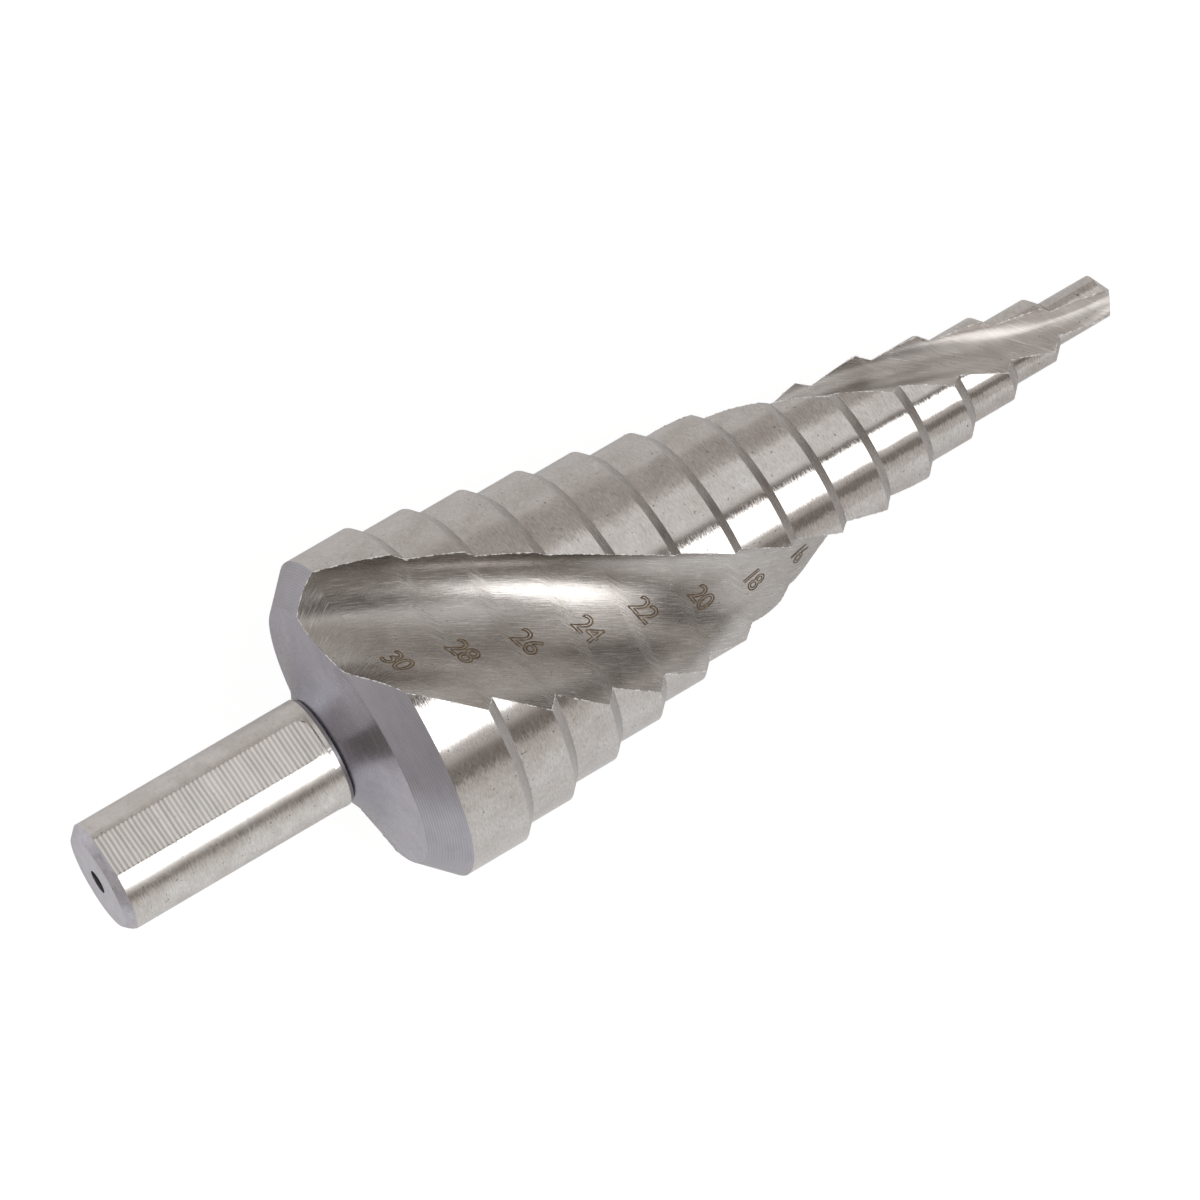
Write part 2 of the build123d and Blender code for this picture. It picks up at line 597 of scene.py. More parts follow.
    def point_rings(self) -> list[Ring]:
        """Lists the rings of the drill point.

        Returns:
            The rings, the tip first.
        """
        tip, near_tip = self.tip_radii
        floor = float(np.min(self.flute_curve(self.point_end, 0)[1]))
        inside, outside = self.point_rings_count
        outer = np.linspace(floor + self.floor_gap, self.smallest_radius, outside + 1)[:-1]
        rings = []
        for radius in (tip, *np.linspace(near_tip, floor, inside), *outer):
            opening = self.tip_opening * max(0.0, 1 - radius / floor)
            ring = self.fluted_ring(self.tip - radius * self.point_fall, radius, Region.POINT, opening)
            rings.append(self.relieved(ring))
        return rings

    def lip_fall(self, ring: Ring) -> tuple[Array, Array]:
        """Works out how the clearance behind the lips falls away from the tip.

        Args:
            ring: a ring near the point.

        Returns:
            The radius of each vertex, and the fall there for each mm of radius.
        """
        x, y, _ = ring.points.T
        lip = self.flutes.edge(self.point_end)
        behind = np.radians((lip - np.degrees(np.arctan2(y, x))) % self.flute_turn)
        clearance = math.tan(math.radians(self.lip_clearance))
        fall = np.cos(behind) * self.point_fall + np.sin(behind) * clearance
        return np.hypot(x, y), np.maximum(fall, self.point_fall)

    def relieved(self, ring: Ring) -> Ring:
        """Grinds the clearance behind both lips into a ring of the point.

        Args:
            ring: the ring.

        Returns:
            The same ring, lowered outside the flutes.
        """
        radius, fall = self.lip_fall(ring)
        land = np.arange(self.columns) % self.sector >= self.flute_columns
        ring.points[:, 2] -= np.where(land, radius * (fall - self.point_fall), 0)
        return ring

    def trimmed(self, ring: Ring, number: int) -> Ring:
        """Keeps a ring of the smallest step below the clearance behind the lips.

        Args:
            ring: the ring.
            number: its place behind the point's last ring.

        Returns:
            The same ring, with its high stretches lowered.
        """
        radius, fall = self.lip_fall(ring)
        ring.points[:, 2] = np.minimum(ring.points[:, 2], self.tip - radius * fall - self.trim_gap * number)
        return ring

    def step_rings(self) -> list[Ring]:
        """Lists the rings of the lands and shoulders.

        Returns:
            The rings, the smallest step first.
        """
        rings = []
        smallest = self.step_count - 1
        for index in reversed(range(self.step_count)):
            radius = self.largest_radius - self.radius_step * index
            back = self.first_step_length + self.step_pitch * (index - 1) if index else 0.0
            front = self.first_step_length + self.step_pitch * index
            if index < smallest:
                front -= self.shoulder_length
                for share in np.linspace(1, 0, self.shoulder_slices + 1)[:-1]:
                    rings.append(self.fluted_ring(front + self.shoulder_length * share,
                                                  radius - self.radius_step * share, Region.SHOULDER))
            spans = math.ceil((front - back) / self.slice_pitch)
            for number, height in enumerate(np.linspace(front, back, spans + 1)[:spans]):
                ring = self.fluted_ring(height, radius, Region.LAND)
                rings.append(self.trimmed(ring, number) if index == smallest else ring)
        return rings

    def back_rings(self) -> list[Ring]:
        """Lists the rings of the back chamfer and the back face as far as its root.

        Returns:
            The rings, the widest first.
        """
        rings = []
        for depth in self.back_chamfer * np.linspace(0, 1, self.corner_slices + 1)[:-1]:
            rings.append(self.fluted_ring(-depth, self.largest_radius - depth, Region.CHAMFER))
        outside, inside = self.back_rings_count
        outer = np.linspace(self.ring_radius, self.back_split, outside)
        for radius in (*outer, *np.linspace(self.back_split - self.split_gap, self.back_face_root, inside)):
            opening = self.back_opening * float(np.clip((self.back_split - radius) / self.back_fade, 0, 1))
            rings.append(self.fluted_ring(self.back_height(radius), radius, Region.BACK, opening))
        return rings

    def back_height(self, radius: float) -> float:
        """Works out the height of the hollow back face.

        Args:
            radius: distance from the axis.

        Returns:
            The height on the arc from the chamfer to the neck.
        """
        start = math.radians(self.back_face_angle)
        width = self.ring_radius - self.neck_radius
        fall = math.atan2(self.back_face_depth, width)
        bend = math.hypot(self.back_face_depth, width) / (2 * math.sin(fall - start))
        middle = self.ring_radius + bend * math.sin(start)
        return -self.back_chamfer - bend * math.cos(start) + math.sqrt(bend**2 - (radius - middle) ** 2)

    def root_rings(self) -> list[Ring]:
        """Lists the rings of the back face's root.

        Returns:
            The rings, the last of them where the neck begins.
        """
        shares = np.linspace(0, 1, self.root_slices + 1)[1:]
        radii = self.back_face_root + (self.neck_radius - self.back_face_root) * shares
        regions = [Region.BACK] * (len(radii) - 1) + [Region.NECK]
        return [self.round_ring(self.back_height(radius), radius, region)
                for radius, region in zip(radii, regions)]

    def shank_rings(self) -> list[Ring]:
        """Lists the rings of the neck, the shank with its flats, its end and the centre hole.

        Returns:
            The rings, the neck first.
        """
        top = self.neck_end + self.neck_width
        rings = [self.round_ring(-top, self.neck_radius, Region.NECK),
                 self.round_ring(-top, self.shank_radius, Region.SHANK),
                 self.round_ring(-self.flat_start, self.shank_radius, Region.SHANK)]
        shares = np.linspace(0, 1, self.corner_slices + 1)
        for depth in self.flat_corner * shares:
            full = math.sqrt(max(self.flat_corner**2 - (self.flat_corner - depth) ** 2, 0))
            half_width = self.flat_half - (self.flat_corner - full)
            rings.append(self.flatted_ring(-self.flat_start - depth, self.shank_radius, half_width))
        plain = self.shank_end - self.shank_chamfer
        for height in np.linspace(self.flat_start + self.flat_corner, plain, self.shank_slices + 1)[1:]:
            rings.append(self.flatted_ring(-height, self.shank_radius, self.flat_half))
        for depth in self.shank_chamfer * shares[1:]:
            rings.append(self.flatted_ring(-plain - depth, self.shank_radius - depth, self.flat_half))
        rim = self.shank_radius - self.shank_chamfer
        for radius in np.linspace(rim, self.centre_radius, self.end_slices + 1)[1:]:
            rings.append(self.round_ring(-self.shank_end, radius, Region.END))
        cone = self.centre_radius / math.tan(math.radians(self.centre_cone_angle / 2))
        bottom = self.centre_depth - self.shank_end
        wall_slices, cone_slices = self.hole_slices
        for depth in (self.centre_depth - cone) * np.linspace(0, 1, wall_slices + 1)[1:]:
            rings.append(self.round_ring(depth - self.shank_end, self.centre_radius, Region.CENTRE))
        for share in np.linspace(1, self.hole_tip, cone_slices + 1)[1:]:
            rings.append(self.round_ring(bottom - cone * share, self.centre_radius * share, Region.CENTRE))
        return rings

    def face_region(self, ring: Ring, column: int, after: Ring) -> Region:
        """Names the surface of one face between two rings.

        Args:
            ring: the ring nearer the point.
            column: the face's first column.
            after: the next ring.

        Returns:
            The surface.
        """
        if ring.flute.any():
            inside = column % self.sector < self.flute_columns
            return Region.FLUTE if inside and self.cuts(ring) else ring.region
        if ring.region is not Region.SHANK:
            return ring.region
        if ring.points[column, 2] <= -self.shank_end + self.shank_chamfer + self.touch:
            return Region.END
        x, y, _ = (ring.points[column] + after.points[(column + 1) % self.columns]) / 2
        return Region.FLAT if math.hypot(x, y) < self.shank_radius - self.touch else Region.SHANK

    def cuts(self, ring: Ring) -> bool:
        """Tells whether the flutes cut into a ring."""
        return float(np.ptp(np.hypot(*ring.points[:self.flute_columns, :2].T))) > self.least_cut

    def smooth_walls(self, mesh: bpy.types.Mesh, rings: list[Ring]) -> None:
        """Gives the flutes' faces the true direction of the wall at each corner.

        Args:
            mesh: the skin.
            rings: its rings.
        """
        blank = np.zeros((self.columns, 3))
        normals = np.concatenate([blank if ring.normals is None else ring.normals for ring in rings])
        normals = normals @ np.array(REST.turn()).T
        corner_vertex = np.empty(len(mesh.loops), dtype=np.int32)
        mesh.loops.foreach_get("vertex_index", corner_vertex)
        region, total = (np.empty(len(mesh.polygons), dtype=np.int32) for _ in range(2))
        mesh.polygons.foreach_get("material_index", region)
        mesh.polygons.foreach_get("loop_total", total)
        inside = np.repeat(region == int(Region.FLUTE), total)
        mesh.normals_split_custom_set(np.where(inside[:, None], normals[corner_vertex], 0.0).tolist())

    def edge_lines(self) -> list[Array]:
        """Finds where the flutes meet the lands, the chamfer and the back face.

        Returns:
            One line for each edge, its points from the front to the back.
        """
        rings = [ring for ring in [*self.step_rings(), *self.back_rings()] if self.cuts(ring)]
        columns = [side + flute * self.sector for side in (0, self.flute_columns)
                   for flute in range(self.flutes.count)]
        return [np.array([ring.points[column] for ring in rings]) for column in columns]

    def flat_outlines(self) -> list[Array]:
        """Finds the rounded inner outline of each chuck flat, with a length of its sides.

        Returns:
            One line for each flat.
        """
        turns = np.radians(np.linspace(0, 90, self.outline_points))
        side = np.concatenate([[self.flat_half], self.flat_half - self.flat_corner * (1 - np.cos(turns))])
        depth = np.concatenate([[self.outline_side], self.flat_corner * (1 - np.sin(turns))])
        side, depth = np.concatenate([side, -side[::-1]]), np.concatenate([depth, depth[::-1]])
        lines = []
        for middle in np.radians(self.flat_middles()):
            line = polar(self.flat_reach, middle, -self.flat_start - depth)
            line[:, 0] -= side * math.sin(middle)
            line[:, 1] += side * math.cos(middle)
            lines.append(line)
        return lines

    def mesh(self) -> bpy.types.Object:
        """Builds the skin.

        Returns:
            The object, with its material slots still empty.
        """
        rings = self.rings()
        count = self.columns
        points = np.concatenate([ring.points for ring in rings])
        guide = np.concatenate([ring.flute for ring in rings])
        faces, regions = [], []
        for k, (ring, after) in enumerate(zip(rings, rings[1:])):
            here, there = k * count, (k + 1) * count
            for column in range(count):
                beside = (column + 1) % count
                faces.append((here + column, there + column, there + beside, here + beside))
                regions.append(int(self.face_region(ring, column, after)))
        last = (len(rings) - 1) * count
        faces += [tuple(range(count)), tuple(reversed(range(last, last + count)))]
        regions += [int(Region.POINT), int(Region.CENTRE)]
        mesh = bpy.data.meshes.new("step_drill_skin")
        mesh.from_pydata(REST.lay(points), [], faces)
        mesh.polygons.foreach_set("material_index", regions)
        for name, values in ((Guide.DRILL.value, points), (Guide.FLUTE.value, guide)):
            layer = mesh.attributes.new(name, "FLOAT_VECTOR", "POINT")
            layer.data.foreach_set("vector", values.astype(np.float32).ravel())
        mesh.shade_smooth()
        mesh.set_sharp_from_angle(angle=math.radians(self.sharp_angle))
        mesh.update()
        self.smooth_walls(mesh, rings)
        return bpy.data.objects.new("step_drill_skin", mesh)


@dataclass
class SizeNumbers:
    """Plain diameter numbers, marked by laser down one flute.

    Attributes:
        largest: number beside the widest step.
        step: difference from one number to the next.
        start: height of the first number.
        pitch: way from one number to the next.
        shares: place of each number between cutting edge and heel.
        height: height of a digit.
        advance: way from one digit to the next.
        line_width: width of a marked line.
        lift: height of the mark above the metal.
        slant: rise of the reading line for each mm along it.
        curve_steps: points on each curve of a digit.
        ray_start: distance above the flute from which the metal is looked for.
    """

    largest: int = 30
    step: int = 2
    start: float = 1.7
    pitch: float = 5.27
    shares: tuple[float, ...] = (0.62, 0.59, 0.57, 0.53, 0.46, 0.49, 0.53, 0.60)
    height: float = 1.75
    advance: float = 1.12
    line_width: float = 0.13
    lift: float = 0.012
    slant: float = 0.3
    curve_steps: int = 5
    ray_start: float = 5.0

    def outlines(self, text: str) -> list[list[Vector]]:
        """Outlines a number's digits in a plane, about its middle.

        Args:
            text: the number.

        Returns:
            Closed loops of points, reading along X, upright along Y, 1 high.
        """
        loops = []
        for place, digit in enumerate(text):
            curve = bpy.data.curves.new("digit", "FONT")
            curve.body, curve.fill_mode, curve.resolution_u = digit, "NONE", self.curve_steps
            shape = bpy.data.objects.new("digit", curve)
            mesh = shape.to_mesh()
            spots = [vertex.co.copy() for vertex in mesh.vertices]
            beside = {}
            for edge in mesh.edges:
                for one, other in (edge.vertices, reversed(edge.vertices)):
                    beside.setdefault(one, []).append(other)
            shape.to_mesh_clear()
            bpy.data.objects.remove(shape)
            low, high = (Vector((pick(p.x for p in spots), pick(p.y for p in spots), 0)) for pick in (min, max))
            shift = (place - (len(text) - 1) / 2) * self.advance / self.height
            left = set(beside)
            while left:
                at, loop = min(left), []
                while at in left:
                    left.discard(at)
                    loop.append((spots[at] - (low + high) / 2) / (high.y - low.y) + Vector((shift, 0, 0)))
                    at = next((other for other in beside[at] if other in left), -1)
                loops.append(loop)
        return loops

    def build(self, skin: bpy.types.Object, drill: DrillSkin) -> bpy.types.Object:
        """Lays all numbers on the flute.

        Args:
            skin: the drill's skin.
            drill: sizes of the drill.

        Returns:
            The marks as one object.
        """
        placed, turn, flutes = REST.matrix(), REST.turn(), drill.flutes
        tree = BVHTree.FromPolygons([vertex.co for vertex in skin.data.vertices],
                                    [polygon.vertices for polygon in skin.data.polygons])
        corners, faces = [], []
        for number, share in enumerate(self.shares):
            height = self.start + self.pitch * number
            _, radii, angles = drill.flute_curve(height, 0.0)
            column = int(np.argmin(np.abs(angles - flutes.edge(height) - flutes.spread(height) * share)))
            angle = math.radians(angles[column])
            spot = placed @ Vector(polar(radii[column], angle, height))
            reading = turn @ Vector((-math.sin(angle), math.cos(angle), 0))
            upright = turn @ Vector((0, 0, 1))
            away = upright.cross(reading).normalized()
            away = away if away.dot(turn @ Vector(polar(1, angle, 0))) > 0 else -away
            for loop in self.outlines(str(self.largest - self.step * number)):
                self.ribbon(tree, spot, (reading, upright, away), loop, corners, faces)
        mesh = bpy.data.meshes.new("size_numbers")
        mesh.from_pydata(corners, [], faces)
        mesh.update()
        return bpy.data.objects.new("size_numbers", mesh)

    def ribbon(self, tree: BVHTree, spot: Vector, ways: tuple[Vector, Vector, Vector], loop: list[Vector],
               corners: list[Vector], faces: list[tuple[int, ...]]) -> None:
        """Lays one outline on the metal as a closed ribbon.

        Args:
            tree: the skin, to find the metal under a point.
            spot: middle of the number.
            ways: directions of reading, upright and away from the metal.
            loop: the outline.
            corners: list that the ribbon's corners join.
            faces: list that the ribbon's faces join.
        """
        reading, upright, away = ways
        first = len(corners)
        count = len(loop)
        for k, point in enumerate(loop):
            way = (loop[(k + 1) % count] - loop[k - 1]).normalized()
            side = Vector((-way.y, way.x, 0)) * self.line_width / self.height / 2
            for edge in (point + side, point - side):
                start = spot + (reading * edge.x + upright * (edge.y + self.slant * edge.x)) * self.height * MM
                place, normal, _, _ = tree.ray_cast(start + away * self.ray_start * MM, -away)
                if place is None:
                    place, normal = start, away
                corners.append(place + normal * self.lift * MM)
        for k in range(count):
            a, b = first + 2 * k, first + 2 * ((k + 1) % count)
            faces.append((a, a + 1, b + 1, b))

    def finish(self) -> bpy.types.Material:
        """Brown oxide that a marking laser burns into steel: dull, thin and a little blotchy.

        Returns:
            The material.
        """
        material, tree = empty_material("laser_burnt_oxide")
        where = add_node(tree, "TexCoord").outputs["Object"]
        # Blotches about half a millimetre across.
        blotch = add_node(tree, "TexNoise", {}, {"Vector": where, "Scale": 2.2 / MM, "Detail": 3.0})
        share = add_node(tree, "MapRange", {}, {"Value": blotch, "From Min": 0.35, "From Max": 0.65})
        colour = add_node(tree, "Mix", {"data_type": "RGBA"},
                          {"Factor": share, "A": linear("#584632"), "B": linear("#8a765c")})
        shader = add_node(tree, "BsdfPrincipled", {},
                          {"Base Color": colour.outputs["Result"], "Metallic": 0.3, "Roughness": 0.55})
        add_node(tree, "OutputMaterial", {}, {"Surface": shader})
        return material


@dataclass
class EdgeBurrs:
    """Tiny crumbs of metal that grinding leaves along an edge, each painted near white as a painted glint.

    Attributes:
        spacing: mean way between two crumbs.
        smallest: radius of the smallest crumb.
        largest: radius of the largest crumb.
        sunk: how deep a crumb sits in the metal, as a share of its size.
        stretch: how much longer than wide a crumb can be, along the edge.
        slimmest: least width of a crumb, as a share of its size.
        twist: how unevenly its corners stand round the edge, from 0 to 1.
        look_ahead: way over which the edge's direction is taken.
        seed: start of the random row.
    """

    spacing: float = 0.13
    smallest: float = 0.025
    largest: float = 0.12
    sunk: float = 0.15
    stretch: float = 3.0
    slimmest: float = 0.6
    twist: float = 0.6
    look_ahead: float = 0.05
    seed: int = 7

    def build(self, name: str, lines: list[Array]) -> bpy.types.Object:
        """Sets crumbs along lines.

        Args:
            name: name of the piece.
            lines: points of each line in the drill frame.

        Returns:
            All crumbs as one object.
        """
        chance = np.random.default_rng(self.seed)
        corners, faces = [], []
        for line in lines:
            way = way_along(line)
            spots = np.cumsum(chance.exponential(self.spacing, int(way[-1] / self.spacing)))
            for at in spots[spots < way[-1]]:
                centre, beyond = (np.array([np.interp(spot, way, column) for column in line.T])
                                  for spot in (at, at + self.look_ahead))
                ahead = (beyond - centre) / max(np.linalg.norm(beyond - centre), 1e-9)
                size = self.smallest + (self.largest - self.smallest) * chance.random() ** 3
                inward = np.array([-centre[0], -centre[1], 0]) / max(math.hypot(*centre[:2]), 1e-9)
                centre = centre + inward * size * self.sunk
                first = len(corners)
                for sign in (-1, 1):
                    corners.append(centre + ahead * sign * size * (1 + self.stretch * chance.random()))
                for k in range(4):
                    turn = (k + chance.random() * self.twist) * math.pi / 2
                    across = inward * math.cos(turn) + np.cross(ahead, inward) * math.sin(turn)
                    width = self.slimmest + (1 - self.slimmest) * chance.random()
                    corners.append(centre + across * size * width)
                for k in range(4):
                    one, other = first + 2 + k, first + 2 + (k + 1) % 4
                    faces += [(first, one, other), (first + 1, other, one)]
        mesh = bpy.data.meshes.new(name)
        mesh.from_pydata(REST.lay(corners), [], faces)
        mesh.update()
        return bpy.data.objects.new(name, mesh)

    def finish(self) -> bpy.types.Material:
        """Freshly torn steel, painted near white so that each crumb shows as a painted glint, and rough enough
        to scatter it.

        Returns:
            The material.
        """
        material, tree = empty_material("torn_steel_burr_painted_glint")
        where = add_node(tree, "TexCoord").outputs["Object"]
        change = add_node(tree, "TexNoise", {}, {"Vector": where, "Scale": 1 / MM, "Detail": 1.0})
        rough = add_node(tree, "MapRange", {}, {"Value": change, "To Min": 0.3, "To Max": 0.6})
        # Painted glint: a near-white colour, brighter than any steel of the drill.
        shader = add_node(tree, "BsdfPrincipled", {},
                          {"Base Color": linear("#f8f7f6"), "Metallic": 0.35, "Roughness": rough})
        add_node(tree, "OutputMaterial", {}, {"Surface": shader})
        return material


@dataclass(frozen=True)
class Steel:
    """High-speed steel with one surface treatment.

    Attributes:
        name: the material and its process.
        colour: colour of the bare metal.
        stain: colour that its faint stains lean to.
        roughness: lowest and highest roughness.
        guide: attribute that carries the pattern.
        grain: repeats of the grinding lines for each mm, along the guide's three directions.
        relief: height of the lines in mm.
        contrast: how much darker the metal is in its lines.
        waver: how far the lines turn the surface round the drill, as a slope.
        stain_size: size of a stain in mm.
        stain_share: how strongly stains colour the metal.
        specks: how strongly small pits darken it.
        speck_colour: colour of the pits.
        speck_grain: repeats of the pits' pattern for each mm.
        ruling: spacing of even lines across the drill in mm, none at 0.
        worn_point: roughness that hand polishing adds towards the point, where the colour is also painted
            brighter as a painted sheen.
        worn_span: heights between which that wear and the painted sheen grow.
        painted_point_sheen: how much brighter the colour is painted there, as a painted sheen, for each unit of
            roughness that the wear adds.
        painted_root_shade: how much darker the colour is painted in the curve at the neck, a painted shade of
            that hollow.
        root_shade_span: radii between which that painted shade fades out.
        painted_glints: how much brighter the strongest scratches are painted, as a painted glint.
        stain_span: strengths of the pattern between which stains, and as speck_span pits, set in.
        shade_span: strengths of the lines between which the colour changes. The same holds for the
            roughness with rough_span, and for the painted glint with painted_glint_span.
        even_share: strength of the even lines beside uneven_share, and line_base what both stand on.
    """

    name: str
    colour: str
    stain: str
    roughness: tuple[float, float]
    guide: Guide
    grain: tuple[float, float, float]
    relief: float
    contrast: float = 0.25
    waver: float = 0.0
    stain_size: float = 4.0
    stain_share: float = 0.5
    specks: float = 0.35
    speck_colour: str = "#5a5049"
    speck_grain: float = 3.2
    ruling: float = 0.0
    worn_point: float = 0.0
    worn_span: tuple[float, float] = (48.0, 66.0)
    painted_point_sheen: float = 1.6
    painted_root_shade: float = 0.0
    root_shade_span: tuple[float, float] = (6.0, 10.0)
    painted_glints: float = 0.0
    stain_span: tuple[float, float] = (0.35, 0.7)
    speck_span: tuple[float, float] = (0.66, 0.76)
    shade_span: tuple[float, float] = (0.25, 0.75)
    rough_span: tuple[float, float] = (0.3, 0.7)
    painted_glint_span: tuple[float, float] = (0.6, 0.7)
    even_share: float = 0.45
    uneven_share: float = 0.55
    line_base: float = 0.02

    def ruled(self, tree: Tree, drill: Socket, lines: Node) -> Node:
        """Adds even lines to the uneven ones.

        Args:
            tree: the material's node tree.
            drill: the drill's own coordinates.
            lines: strength of the uneven lines.

        Returns:
            Strength of both together.
        """
        # Blender's wave texture runs through 20 radians in one unit.
        waves_in_unit = 20 / (2 * math.pi)
        wave = add_node(tree, "TexWave", {"bands_direction": "Z"},
                        {"Vector": drill, "Scale": 1 / (self.ruling * waves_in_unit), "Distortion": 1.2,
                         "Detail": 2.0, "Detail Scale": 0.4})
        even = add_node(tree, "Math", {"operation": "MULTIPLY_ADD"},
                        {0: wave.outputs["Fac"], 1: self.even_share, 2: self.line_base})
        return add_node(tree, "Math", {"operation": "MULTIPLY_ADD"},
                        {0: lines, 1: self.uneven_share, 2: even})

    def wavering(self, tree: Tree, lines: Node, normal: Node) -> Node:
        """Tilts the surface round the drill, streak by streak, which frays the border of a reflection.

        Args:
            tree: the material's node tree.
            lines: strength of the streaks, 0.5 on average.
            normal: the surface's direction with its relief.

        Returns:
            The tilted direction.
        """
        axis = REST.turn() @ Vector((0, 0, 1))
        round_way = add_node(tree, "VectorMath", {"operation": "CROSS_PRODUCT"}, {0: axis, 1: normal})
        size = add_node(tree, "Math", {"operation": "MULTIPLY_ADD"},
                        {0: lines, 1: self.waver, 2: -self.waver / 2})
        tilt = add_node(tree, "VectorMath", {"operation": "SCALE"}, {0: round_way, "Scale": size})
        total = add_node(tree, "VectorMath", {"operation": "ADD"}, {0: normal, 1: tilt})
        return add_node(tree, "VectorMath", {"operation": "NORMALIZE"}, {0: total})

    def shaded(self, tree: Tree, colour: Node | Socket, value: Node | Socket, span: tuple[float, float],
               levels: tuple[float, float], ramp: str = "LINEAR") -> Node:
        """Changes a colour's brightness with a value.

        Args:
            tree: the material's node tree.
            colour: the colour.
            value: what the brightness follows.
            span: lowest and highest value.
            levels: brightness at the one and at the other.
            ramp: way from the one to the other.

        Returns:
            The new colour.
        """
        level = add_node(tree, "MapRange", {"interpolation_type": ramp},
                         {"Value": value, "From Min": span[0], "From Max": span[1],
                          "To Min": levels[0], "To Max": levels[1]})
        return add_node(tree, "VectorMath", {"operation": "SCALE"}, {0: colour, "Scale": level})

    def metal(self, tree: Tree, drill: Socket, lines: Node) -> Node:
        """Colours the metal with its stains, pits and lines.

        Args:
            tree: the material's node tree.
            drill: the drill's own coordinates.
            lines: strength of the lines.

        Returns:
            The colour.
        """
        stains = add_node(tree, "TexNoise", {},
                          {"Vector": drill, "Scale": 1 / self.stain_size, "Detail": 5.0, "Roughness": 0.62})
        pits = add_node(tree, "TexNoise", {}, {"Vector": drill, "Scale": self.speck_grain, "Detail": 3.0})
        layers = ((stains, self.stain_span, self.stain_share, self.stain),
                  (pits, self.speck_span, self.specks, self.speck_colour))
        colour = linear(self.colour)
        for noise, (low, high), strength, tint in layers:
            mask = add_node(tree, "MapRange", {},
                            {"Value": noise, "From Min": low, "From Max": high, "To Max": strength})
            mixed = add_node(tree, "Mix", {"data_type": "RGBA"},
                             {"Factor": mask, "A": colour, "B": linear(tint)})
            colour = mixed.outputs["Result"]
        return self.shaded(tree, colour, lines, self.shade_span, (1 - self.contrast, 1.0))

    def build(self) -> bpy.types.Material:
        """Makes the material.

        Returns:
            The material, with lines, stains and pits that follow the guide.
        """
        material, tree = empty_material(self.name)
        where, drill = (add_node(tree, "Attribute", {"attribute_name": guide.value}).outputs["Vector"]
                        for guide in (self.guide, Guide.DRILL))
        stretched = add_node(tree, "VectorMath", {"operation": "MULTIPLY"}, {0: where, 1: self.grain})
        lines = add_node(tree, "TexNoise", {},
                         {"Vector": stretched, "Scale": 1.0, "Detail": 3.0, "Roughness": 0.6})
        if self.ruling:
            lines = self.ruled(tree, drill, lines)
        bare = self.metal(tree, drill, lines)
        (low, high), (lowest, highest) = self.rough_span, self.roughness
        rough = add_node(tree, "MapRange", {}, {"Value": lines, "From Min": low, "From Max": high,
                                                "To Min": lowest, "To Max": highest})
        if self.worn_point:
            height = add_node(tree, "SeparateXYZ", {}, {0: drill}).outputs["Z"]
            start, end = self.worn_span
            wear = add_node(tree, "MapRange", {},
                            {"Value": height, "From Min": start, "From Max": end, "To Max": self.worn_point})
            rough = add_node(tree, "Math", {}, {0: rough, 1: wear})
            # Painted sheen: the colour is painted brighter towards the point.
            bare = self.shaded(tree, bare, height, self.worn_span, (1.0, 1 + self.painted_point_sheen * self.worn_point))
        # Painted glint: the colour is painted brighter on the strongest scratches.
        if self.painted_glints:
            bare = self.shaded(tree, bare, lines, self.painted_glint_span, (1.0, 1 + self.painted_glints))
        # Painted shade: the colour is painted darker in the curve at the neck.
        if self.painted_root_shade:
            flat = add_node(tree, "VectorMath", {"operation": "MULTIPLY"}, {0: drill, 1: (1, 1, 0)})
            radius = add_node(tree, "VectorMath", {"operation": "LENGTH"}, {0: flat}).outputs["Value"]
            bare = self.shaded(tree, bare, radius, self.root_shade_span, (1 - self.painted_root_shade, 1.0), "SMOOTHSTEP")
        normal = add_node(tree, "Bump", {}, {"Height": lines, "Distance": self.relief * MM, "Strength": 1.0})
        if self.waver:
            normal = self.wavering(tree, lines, normal)
        shader = add_node(tree, "BsdfPrincipled", {},
                          {"Base Color": bare, "Metallic": 1.0, "Roughness": rough, "Normal": normal})
        add_node(tree, "OutputMaterial", {}, {"Surface": shader})
        return material


